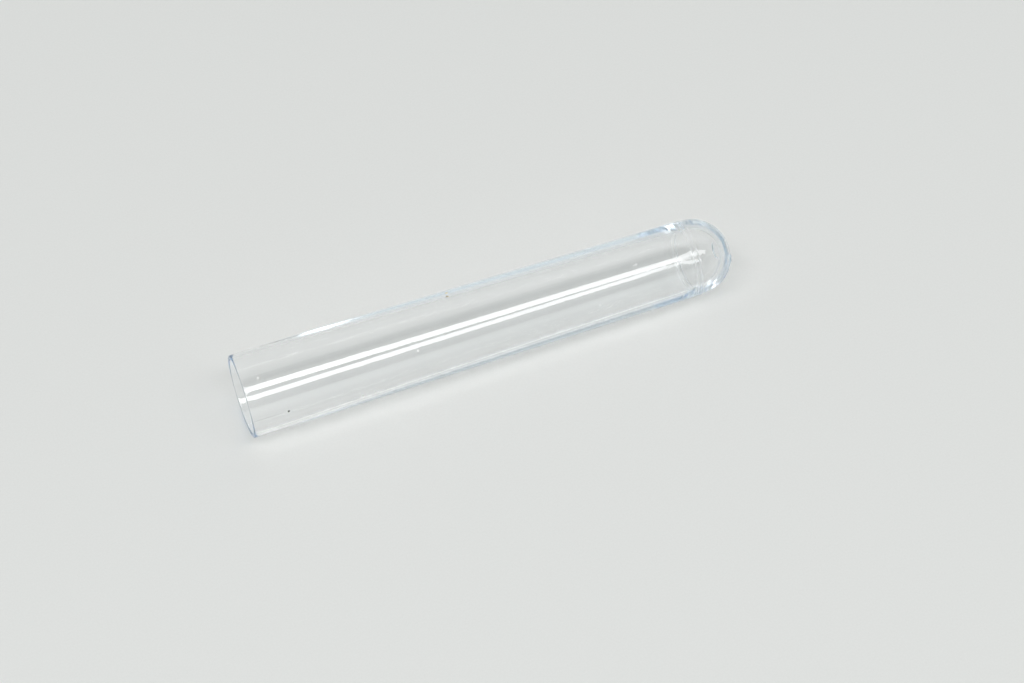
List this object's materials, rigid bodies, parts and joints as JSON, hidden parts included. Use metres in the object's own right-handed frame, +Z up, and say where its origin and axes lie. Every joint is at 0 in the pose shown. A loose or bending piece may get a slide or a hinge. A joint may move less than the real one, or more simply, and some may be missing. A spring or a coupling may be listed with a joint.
{
  "type": "test tube",
  "caption": "Round-bottom plain-rim test tube moulded in one piece from clear plastic, lying on its side.",
  "frame": {"origin": "centre of the open end, on the tube's axis, in the plane of the rim", "axes": "+X along the tube from the open end to the closed end, +Z up, so the tube lies on its side"},
  "size_m": [0.0977, 0.016, 0.016],
  "materials": {
    "clear_plastic": "clear, polished, very faintly blue where the wall is seen edge-on"
  },
  "bodies": {
    "root": {"tube": "clear_plastic"}
  },
  "joints": []
}
